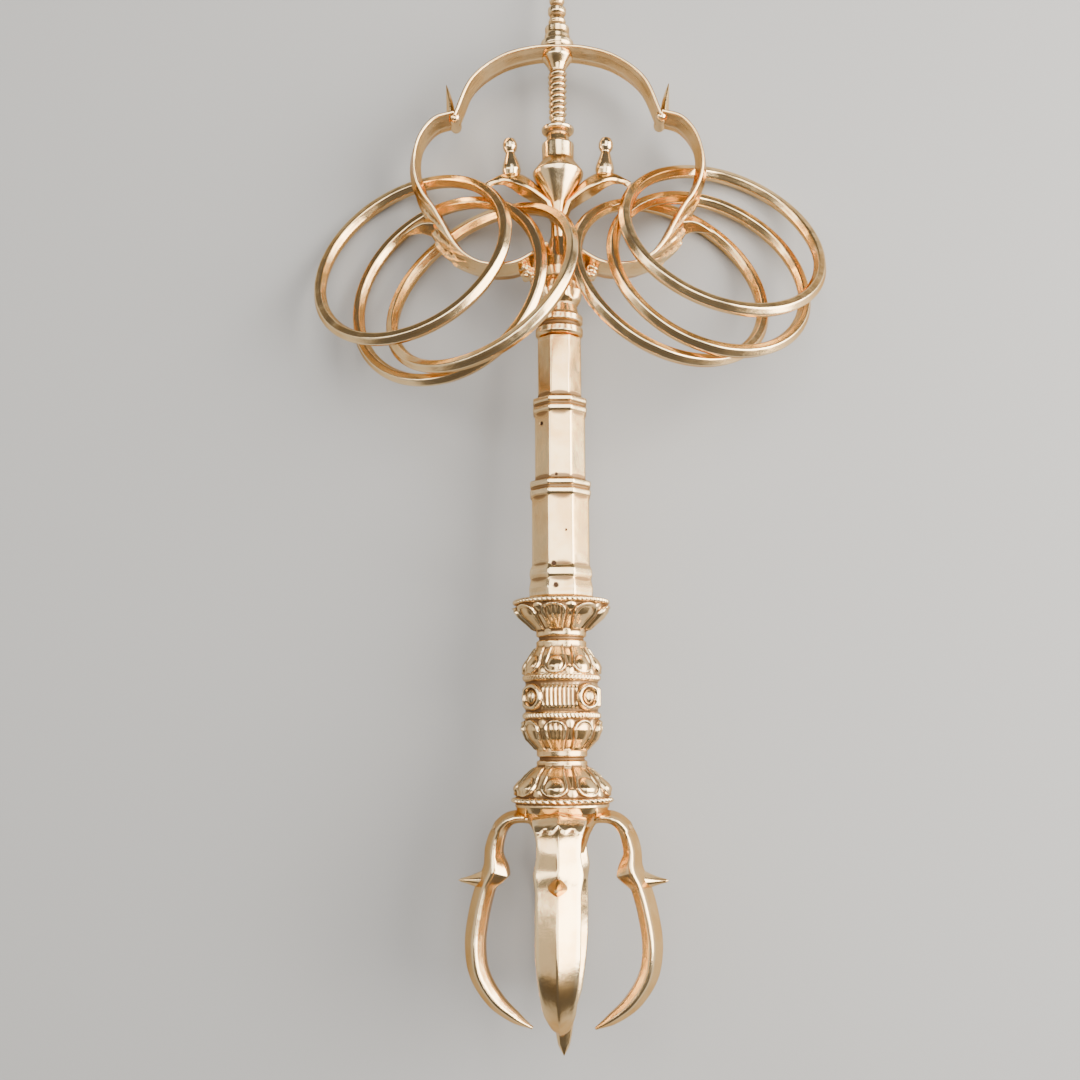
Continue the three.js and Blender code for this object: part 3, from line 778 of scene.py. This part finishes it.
def oval_grid(centre, radii, curls):
    """An oval body: a ball stretched by three radii, and swollen by a wave that winds round it."""
    polar = np.linspace(0.02, math.pi - 0.02, 33)[:, None]
    angle = even_angles(40)[None, :]
    reach = 1 + curls * np.sin(3 * angle + 5 * polar) * np.sin(polar)
    unit = np.stack([np.cos(polar) + 0 * angle, np.sin(polar) * np.cos(angle),
                     np.sin(polar) * np.sin(angle)], axis=-1)
    return np.array(centre) + unit * reach[..., None] * np.array(radii)


neck = turned_body(profile_rows(NECK, 0.16), 144, neck_knobs)
CLOUD = [((6.3, 14.9, 0), (2.3, 1.5, 1.9), 0.1), ((7.6, 15.9, 1.3), (1.5, 0.75, 0.9), 0.12),
         ((5.3, 13.5, 1.5), (1.1, 0.95, 0.9), 0.0), ((7.3, 14.1, 1.2), (0.75, 0.6, 0.7), 0.0),
         ((4.75, 17.7, 1.5), (0.95, 0.95, 0.95), 0.0), ((6.0, 17.6, 0.4), (2.3, 0.6, 1.6), 0.05)]
brackets = [oval_grid((side * x, NECK_BOTTOM + s, n * face), radii, curls)
            for (x, s, n), radii, curls in CLOUD for side in (-1, 1)
            for face in ((1, -1) if n else (1,))]
make_piece("head_neck", [laid(part) for part in [neck] + brackets], "staff_head", GILT_HEAD)

# %% [markdown]
# ## The shaft
#
# The shaft is eight sided and steps down twice, each time behind a pair of bands, as a bamboo stem
# does at its joints. Its corners are only a little rounded by polishing, so the flats stay broad
# and mirror the room one by one. It is a profile again, but swept round an octagon.


# %% Shaft
def double_band(below, above, along):
    """Profile points of two bands side by side, a little proud of the stages on either side."""
    top = max(below, above) + 0.4
    return [(below, along - 1.9), (top - 0.1, along - 1.5), (top, along - 1.3), (top, along - 0.5),
            (top - 0.45, along - 0.25), (top - 0.45, along + 0.25), (top, along + 0.5),
            (top, along + 1.3), (top - 0.1, along + 1.5), (above, along + 1.9)]


SHAFT_LENGTH = 57.1
LOWER_STAGE, MIDDLE_STAGE, UPPER_STAGE = 6.1, 5.4, 4.7
SHAFT_FLATS = [(5.9, 0), (6.65, 0.05), (6.75, 1.9), (6.35, 3.8), (6.65, 4.7), (6.55, 5.8),
               (LOWER_STAGE, 6.8)]
SHAFT_FLATS += double_band(LOWER_STAGE, MIDDLE_STAGE, SHAFT_LENGTH * 0.41)
SHAFT_FLATS += double_band(MIDDLE_STAGE, UPPER_STAGE, SHAFT_LENGTH * 0.73)
SHAFT_FLATS += [(UPPER_STAGE, 57.0), (4.2, SHAFT_LENGTH)]


OCTAGON_EDGE = 0.35


def eight_sided(profile, per_corner=7, per_side=9):
    """Each row is an octagon whose flats lie the profile's radius away, with rounded corners.

    A corner lies further out, by the cosine of an eighth of half a turn.
    """
    turns = (np.arange(8) + 0.5) * math.pi / 4
    unit = np.stack([np.sin(turns), np.cos(turns)], axis=-1) / math.cos(math.pi / 8)
    corners = unit * profile[:, 0][:, None, None]
    section = soft_section(corners, OCTAGON_EDGE, per_corner, per_side)
    along = np.broadcast_to(profile[:, 1][:, None], section.shape[:2])
    return np.stack([section[..., 0], along, section[..., 1]], axis=-1)


shaft_rows = profile_rows(SHAFT_FLATS, 0.25, start=SHAFT_BOTTOM, cut=0.12)
make_piece("shaft_bar", [laid(eight_sided(shaft_rows))], "staff_shaft", GILT_SHAFT,
           groove=0.0001)

# %% [markdown]
# ## The lotus grip
#
# The grip is four rows of eight lotus petals that face each other in pairs across doubled bands,
# with a belt of fine ribs and round bosses between them. Each row is a relief over the turned
# profile: a raised rim follows the petal's outline, and inside it lies a shell of ribs or a bead.
# The chaser cut it in the wax; as a function of angle and height it needs no carving by hand.

# %% Petals
PETALS = 8
PETAL_TURN = math.radians(6.5)
RIM_PLACE, RIM_WIDTH = 0.86, 0.21


def petal_place(angle):
    """Place across the nearest petal, from -0.5 to 0.5 of a petal, and the petal's number.

    The number is the nearest whole count of petal widths passed, and the place is the rest.
    """
    turns = (angle + PETAL_TURN) * PETALS / (2 * math.pi)
    number = np.round(turns)
    return turns - number, np.mod(number, PETALS)


def lotus_row(angle, along, base, tip, depth, shells):
    """Height of one row of petals over the profile.

    The outline measure is the square of the place across over the petal's half width, plus the
    square of what lies past 0.55 of its length over 0.42: 0 in the middle and 1 on the outline.
    """
    across, number = petal_place(angle)
    length = (along - base) / (tip - base)
    in_row = smooth_step(length, -0.02, 0.06) * (1 - smooth_step(length, 0.98, 1.04))
    half = 0.29 + 0.15 * np.clip(length, 0, 1)
    past = np.clip((length - 0.55) / 0.42, 0, None)
    outline = (across / half) ** 2 + past ** 2
    inside = np.clip(1 - outline, 0, 1)
    rim = np.exp(-((outline - RIM_PLACE) / RIM_WIDTH) ** 2)
    plump = inside ** 0.5
    ribs = 0.5 + 0.5 * np.cos(across / half * 5 * math.pi)
    shell = 0.55 * plump + 0.3 * ribs * smooth_step(length, 0.15, 0.45) * (inside > 0.12)
    spread = (across / 0.28) ** 2 + ((length - 0.62) / 0.29) ** 2
    bead = 0.1 * plump + 1.25 * np.clip(1 - spread, 0, 1) ** 0.5
    spread = (across / 0.3) ** 2 + ((length - 0.6) / 0.4) ** 2
    smooth = 0.15 * plump + 0.35 * np.clip(1 - spread, 0, 1)
    ribbed = np.mod(number, 2) == 0
    filling = np.where(ribbed, shell, smooth) if shells else bead
    midway = np.abs(across) - 0.5
    small = (midway / 0.17) ** 2 + ((length - 0.84) / 0.17) ** 2
    small = 0.45 * np.clip(1 - small, 0, 1) ** 0.5
    outside = smooth_step(outline, 0.95, 1.25)
    height = (0.7 * rim + filling) * (1 - outside) + small * outside - 0.4 * outside
    return depth * in_row * height


print("one petal spans", 360 / PETALS, "degrees, turned by", round(math.degrees(PETAL_TURN), 1))

# %% [markdown]
# ## Cords and the belt
#
# Between the petals run cords, which a chaser makes by pressing a beading wheel into the wax. The
# belt has fine upright ribs, broken by four bosses: a ribbed dome in a ring. The bosses stand
# between the prongs, where a hand meets them.


# %% Cords and belt
BELT_MIDDLE = 71.7


def bead_row(angle, along, middle, half, depth, count, slant):
    """A cord of beads round the grip: a power of a slanted wave of the angle, on a round roll."""
    share = np.clip(1 - ((along - middle) / half) ** 2, 0, 1)
    wave = 0.5 + 0.5 * np.cos(count * angle + slant * (along - middle))
    return depth * share ** 0.5 * (wave ** 0.6 - 0.3)


def belt(angle, along):
    """Fine upright ribs, and four bosses: a dome inside a ring, with ribs on the dome.

    The ring is the root of a parabola of the way out from the boss's middle, and the dome is the
    root of one less the squares of its two shares. The larger of them counts, and the ribs fade
    where a boss stands.
    """
    share = np.clip(1 - ((along - BELT_MIDDLE) / 2.5) ** 2, 0, 1)
    ribs = 0.16 * np.cos(56 * angle) * smooth_step(share, 0.05, 0.5)
    quarter = np.mod(angle, math.pi / 2) - math.pi / 4
    aside = quarter * 8.3
    out = np.sqrt(aside ** 2 + (along - BELT_MIDDLE) ** 2)
    ring = 1.15 * np.clip(1 - ((out - 2.3) / 0.55) ** 2, 0, 1) ** 0.5
    dome = np.clip(1 - (aside / 1.35) ** 2 - ((along - BELT_MIDDLE) / 1.6) ** 2, 0, 1) ** 0.5
    dome = (1.05 + 0.1 * np.cos(aside * 8)) * dome
    clear = smooth_step(out, 2.4, 3.1)
    return ribs * clear + np.maximum(ring, dome) - 0.12 * (1 - clear)


# Each row of petals: its base and tip along the staff, its depth, and whether it has shells.
PETAL_ROWS = [(57.4, 51.3, 0.75, False), (60.8, 67.2, 0.65, True),
              (82.2, 76.4, 0.65, False), (85.7, 91.1, 0.8, True)]
# Each cord: its middle along the staff, half its height, its depth, its beads and their slant.
BEAD_ROWS = [(50.65, 0.5, 0.5, 44, 2.2), (67.9, 0.5, 0.25, 60, 2.5),
             (75.8, 0.5, 0.25, 60, -2.5), (91.7, 0.45, 0.3, 60, 2.5)]


def grip_relief(angle, along):
    """All the carving of the grip together: the sum of its petals, cords and belt."""
    petals = sum(lotus_row(angle, along, *row) for row in PETAL_ROWS)
    cords = sum(bead_row(angle, along, *row) for row in BEAD_ROWS)
    return petals + cords + belt(angle, along)


print("the belt stands out by up to",
      round(float(belt(even_angles(720), np.full(720, BELT_MIDDLE)).max()), 2), "mm")

# %% [markdown]
# ## The grip's turned core
#
# Under the carving the grip is turned: cup, waist, barrel, waist, cup. It is made in three lengths
# that meet in the doubled bands and inside the barrel's shoulder, so that no piece gets too heavy.

# %% Grip
GRIP_LOW = [(4.4, 40), (5.6, 43.5), (6.6, 45.4), (7.9, 46.8), (9.2, 48.1), (9.8, 49.5), (9.7, 50),
            (10.3, 50.3), (10.3, 51), (9.7, 51.4), (9.4, 53.2), (7.6, 55.6), (5.4, 57.5),
            (5.3, 57.7), (5.3, 58.6), (4.7, 58.85), (4.7, 59.35), (5.3, 59.6), (5.3, 60.7)]
GRIP_MIDDLE = [(5.3, 60.7), (5.5, 61.3), (7.1, 63), (7.9, 65), (7.8, 67), (8.1, 67.4), (8.1, 68.4),
               (7.6, 68.8), (7.6, 69.1), (8.1, 70), (8.15, 71.7), (8.1, 73.4), (7.6, 74.3),
               (7.6, 74.9), (8.1, 75.3), (8.1, 76.3)]
GRIP_TOP = [(8.1, 76.3), (7.7, 78), (6.6, 80.3), (5.4, 82), (5.3, 82.3), (5.3, 83.4),
            (4.7, 83.75), (4.7, 84.25), (5.3, 84.6), (5.3, 85.6), (6.3, 86.6), (8.5, 88.6),
            (9.5, 90.4), (9.7, 91.1), (10.1, 91.4), (10.1, 92), (9.8, 92.25), (5.2, 92.3)]
GRIP_LENGTHS = {"grip_low": GRIP_LOW, "grip_middle": GRIP_MIDDLE, "grip_top": GRIP_TOP}

for name, profile in GRIP_LENGTHS.items():
    rows = profile_rows(profile, 0.14, start=0, cut=0.18)
    carved = about_axis(turned_body(rows, 448, grip_relief), GRIP_TURN)
    make_piece(name, [laid(carved)], "vajra_hilt", GILT_HILT)

# %% [markdown]
# ## The prongs
#
# Four outer prongs curve back to the tip of the middle one, each with a small spur on its back.
# The section is a house shape with its roof outside, and its depth and width follow the route, as
# a founder's wax bar is pinched thinner towards the tip. The spur on the rear prong is rubbed flat
# where the staff stands on it.

# %% Prongs
PRONG = [(4.5, 46.3), (7.8, 47.2), (10.8, 46.8), (13.1, 44.6), (14.3, 41), (14.5, 37), (16, 33.3),
         (17.4, 28), (18.2, 21.5), (17.3, 15.7), (14, 10.5), (10, 7.3), (6.4, 5.3)]
PRONG_SHARE = [0, 0.06, 0.11, 0.15, 0.2, 0.26, 0.32, 0.39, 0.49, 0.61, 0.72, 0.83, 0.93, 1]
PRONG_DEPTH = [0.42, 0.46, 0.5, 0.58, 0.72, 0.8, 0.86, 0.88, 0.9, 0.9, 0.85, 0.74, 0.5, 0.12]
PRONG_WIDTH = [1.3, 2.3, 2.6, 2.45, 2.1, 2.05, 2.3, 2.1, 2.1, 2.05, 1.8, 1.5, 0.95, 0.2]
PRONG_BAR = 4.8
PRONG_CORNERS = np.array([0.35, 1.3, 0.4, 0.4, 1.3])[:, None]
CUSP_ALONG, CUSP_HEIGHT = 36.5, 1.7
CUFF_THICKNESS = 0.34
PRONG_TURNS = [quarter * math.pi / 2 + GRIP_TURN for quarter in range(4)]


def prong_grid(turn, stations=300):
    """The house shaped section along the route, its two sizes read off at the share passed.

    Its inner face steps in by a cusp opposite the spur, which falls off as a power of the way in
    both directions. A cuff lies over the bend at the top and ends in a hem of four lobes, a folded
    sine of the place across.
    """
    line = smooth_route(PRONG, stations)
    share = np.linspace(0, 1, stations)
    depth = PRONG_BAR * np.interp(share, PRONG_SHARE, PRONG_DEPTH)
    width = PRONG_BAR * np.interp(share, PRONG_SHARE, PRONG_WIDTH)
    soft = np.ones(9) / 9
    depth, width = (np.convolve(np.pad(size, 4, "edge"), soft, "valid") for size in (depth, width))
    from_cusp = np.abs(line[:, 1] - CUSP_ALONG)
    cusp = CUSP_HEIGHT * np.clip(1 - from_cusp / 3.2, 0, 1) ** 1.4
    shape = np.array([(-0.5, 0, 0), (0.05, 0.5, 0), (0.5, 0.25, 1), (0.5, -0.25, 1),
                      (0.05, -0.5, 0)])
    offset = shape[:, 0] * depth[:, None] + shape[:, 2] * cusp[:, None]
    corners = np.stack([offset, shape[:, 1] * width[:, None]], axis=-1)
    section = soft_section(corners, PRONG_CORNERS, 8, 8)
    place = section[..., 1] / width[:, None]
    hem = 0.165 + 0.02 * np.abs(np.sin(4 * math.pi * place))
    cuff = 1 - smooth_step(share[:, None] - hem, -0.006, 0.004)
    roof = smooth_step(-section[..., 0] / depth[:, None], -0.12, 0.0)
    section[..., 0] -= CUFF_THICKNESS * cuff * roof
    return laid(about_axis(flat_bar(line, section[..., 0], section[..., 1]), turn))


prong_grids = [prong_grid(turn) for turn in PRONG_TURNS]
make_piece("hilt_prongs", prong_grids, "vajra_hilt", GILT_HILT)

# %% [markdown]
# ## The prongs' spurs and the middle prong
#
# A spur is a thorn drawn out of the prong's back, wide at its root and sharp at its tip. The
# middle prong is a plain eight sided spike with a small collar, mostly hidden by the others.


# %% Spurs and middle prong
def spur_grid(turn):
    """A four sided thorn with soft corners, flared where it leaves the prong.

    Its radius falls with a power of the way left to the tip, and is larger at the four corners by
    a wave of four turns of the angle. Nothing goes below the table.
    """
    share = np.linspace(0, 1, 60)
    radius = np.minimum(0.32 + 1.2 * ((1 - share) / 0.66) ** 1.5, 2.0)
    radius = radius - 0.28 * smooth_step(share, 0.9, 1.0)
    angle = even_angles(48)[None, :]
    out = SPUR_ROOT + (SPUR_REACH - SPUR_ROOT) * share[:, None] + 0 * angle
    reach = radius[:, None] * (1 + 0.07 * np.cos(4 * angle))
    along = SPUR_ALONG + reach * np.cos(angle)
    rise = reach * np.sin(angle)
    spur = laid(about_axis(np.stack([out, along, rise], axis=-1), turn))
    return np.stack([spur[..., 0], spur[..., 1], np.maximum(spur[..., 2], 0)], axis=-1)


SPUR_ROOT = 15.29
MIDDLE_PRONG = [(0.05, 0.05), (1.215, 2.2), (1.89, 6), (2.4, 14), (2.7, 26), (2.7, 33),
                (3.3, 34.5), (2.8, 36), (3.19, 42)]
make_piece("hilt_spurs", [spur_grid(turn) for turn in PRONG_TURNS], "vajra_hilt", GILT_HILT)
middle_rows = profile_rows(MIDDLE_PRONG, 0.25, start=0)
spike = laid(about_axis(eight_sided(middle_rows, 5, 3), GRIP_TURN))
make_piece("hilt_middle_prong", [spike], "vajra_hilt", GILT_HILT)

# %% [markdown]
# ## The loose rings
#
# Six rings rattle on the head ring, three to a side. Each was bent from a ridged bar and filed by
# hand, so its bar swells and thins a little on the way round. A ring is its section carried round
# a circle, then tilted, turned and moved to the middle of the box that its plain solid fills. Each
# has its own finish, because its patterns are centred on it.

# %% Rings
RING_RADIUS = 22.6
RING_BAR = np.array([(1.58, 0), (0.76, 1.44), (-0.76, 1.44), (-1.58, 0), (-0.76, -1.44),
                     (0.76, -1.44)])
# How steeply each ring leans, and towards which side it rises, both in degrees.
RING_POSES = {
    "loose_ring_left_1": (34.5, -50.3), "loose_ring_left_2": (30.3, -37.0),
    "loose_ring_left_3": (42.5, -46.0), "loose_ring_right_1": (35.8, -115.6),
    "loose_ring_right_2": (33.0, -122.6), "loose_ring_right_3": (35.9, -128.7),
}


def ring_grid(node, tilt, rises_toward, seed):
    """Section points at the ring's radius plus their offset, round a circle in its own plane.

    The bar thins by a sum of seven waves, each smaller the more often it goes round. The plane is
    then tilted about one axis and turned about the upright one.
    """
    chance = np.random.default_rng(seed)
    angle = even_angles(240)
    wave = sum(chance.normal(0, 0.35 / k) * np.sin(k * angle + chance.uniform(0, 6))
               for k in range(2, 9))
    swell = 1 - 0.045 * np.clip(0.5 + wave, 0, 1)
    section = soft_section(RING_BAR * swell[:, None, None], 0.24, 5, 4)
    reach = RING_RADIUS + section[..., 0]
    x, y = reach * np.cos(angle)[:, None], reach * np.sin(angle)[:, None]
    x, z = turned(x, section[..., 1], math.radians(tilt))
    x, y = turned(x, y, math.radians(rises_toward))
    return np.stack([x, y, z], axis=-1) * MM + box_middle(node)


for number, (node, (tilt, rises_toward)) in enumerate(RING_POSES.items(), start=1):
    finish = gilt_brass("gilt_rings_" + str(number), box_middle(node), patina_and_shade=0.9, roughness=0.17,
                        pits=0.004, uneven=0.07)
    grid = ring_grid(node, tilt, rises_toward, seed=number + 10)
    make_piece(node.replace("loose_ring", "ring"), [grid], node, finish, wraps=True)

# %% [markdown]
# ## The table
#
# The staff lies on a plain pale table top. It is one flat square, a hair below the staff, so that
# the two never share a plane. Its paint is dull, so it takes soft shadows and hardly mirrors.

# %% Floor
TABLE_HALF, TABLE_GAP = 0.8, 2e-5
floor_corners = [(x * TABLE_HALF, y * TABLE_HALF, -TABLE_GAP)
                 for x, y in ((-1, -1), (1, -1), (1, 1), (-1, 1))]
floor_mesh = bpy.data.meshes.new("table_top")
floor_mesh.from_pydata(floor_corners, [], [(0, 1, 2, 3)])
floor_paint = bpy.data.materials.new("pale_table")
floor_paint.use_nodes = True
floor_surface = floor_paint.node_tree.nodes["Principled BSDF"]
floor_surface.inputs["Base Color"].default_value = (0.3, 0.296, 0.289, 1)
floor_surface.inputs["Roughness"].default_value = 0.75
floor_mesh.materials.append(floor_paint)
floor = bpy.data.objects.new("table_top", floor_mesh)
bpy.context.collection.objects.link(floor)
print("the table top is", 2 * TABLE_HALF, "m wide")

# %% [markdown]
# ## The light
#
# Polished metal shows what stands around it. A large soft light on the right gives the broad pale
# sheen, a wide one overhead fills the flats, one at the upper left picks out the rings, and a faint
# warm panel low on the left keeps that side from going black. The room itself is dim.


# %% Lights
def soft_light(name, place, aim, sides, radiance, colour):
    """A rectangular soft box at one point, facing another.

    Its power is its radiance times pi times its area, so a larger box looks just as bright.
    """
    lamp = bpy.data.lights.new(name, "AREA")
    lamp.shape, lamp.size, lamp.size_y = "RECTANGLE", *sides
    lamp.energy, lamp.color = radiance * math.pi * sides[0] * sides[1], colour
    lamp_object = bpy.data.objects.new(name, lamp)
    bpy.context.collection.objects.link(lamp_object)
    towards = Vector(aim) - Vector(place)
    turn = towards.to_track_quat("-Z", "Y").to_matrix().to_4x4()
    lamp_object.matrix_world = Matrix.Translation(place) @ turn


soft_light("right_window", (0.5, 0.05, 0.33), (0, 0, 0.1), (0.66, 0.66), 13.5, (1, 0.97, 0.92))
soft_light("overhead", (0.03, 0.2, 0.75), (0, 0.02, 0), (0.46, 0.85), 5.8, (1, 0.985, 0.96))
soft_light("upper_left", (-0.45, 0.2, 0.55), (0, 0.05, 0), (0.26, 0.6), 5.0, (1, 0.98, 0.95))
soft_light("left_panel", (-0.5, -0.05, 0.22), (0, 0, 0.1), (0.5, 0.42), 0.75, (1, 0.93, 0.84))
world = bpy.data.worlds.new("room")
bpy.context.scene.world = world
world.use_nodes = True
room_light = world.node_tree.nodes["Background"].inputs
room_light["Color"].default_value = (0.53, 0.5, 0.48, 1)
room_light["Strength"].default_value = 0.26
print("lights:", sorted(lamp.name for lamp in bpy.data.lights))

# %% [markdown]
# ## The camera
#
# The camera looks down almost upright, a little from the hilt's side, from a fifth further away
# than the staff is long. Its place and its focal length, in pixels of the picture, were fitted
# together to the outlines of the parts.

# %% Camera
SENSOR_WIDTH = 36
FOCAL_PIXELS, PICTURE_PIXELS = 1300, 1080
camera_data = bpy.data.cameras.new("above")
camera_data.sensor_width = SENSOR_WIDTH
camera_data.lens = FOCAL_PIXELS / PICTURE_PIXELS * SENSOR_WIDTH
camera = bpy.data.objects.new("above", camera_data)
bpy.context.collection.objects.link(camera)
camera.location = (-0.00515, -0.03993, 0.29376)
camera.rotation_euler = [math.radians(turn) for turn in (5.205, 0.331, -0.272)]
bpy.context.scene.camera = camera
print("focal length", round(camera_data.lens, 1), "mm")

# %% [markdown]
# The dressed staff has to stay within the box of the plain solids.
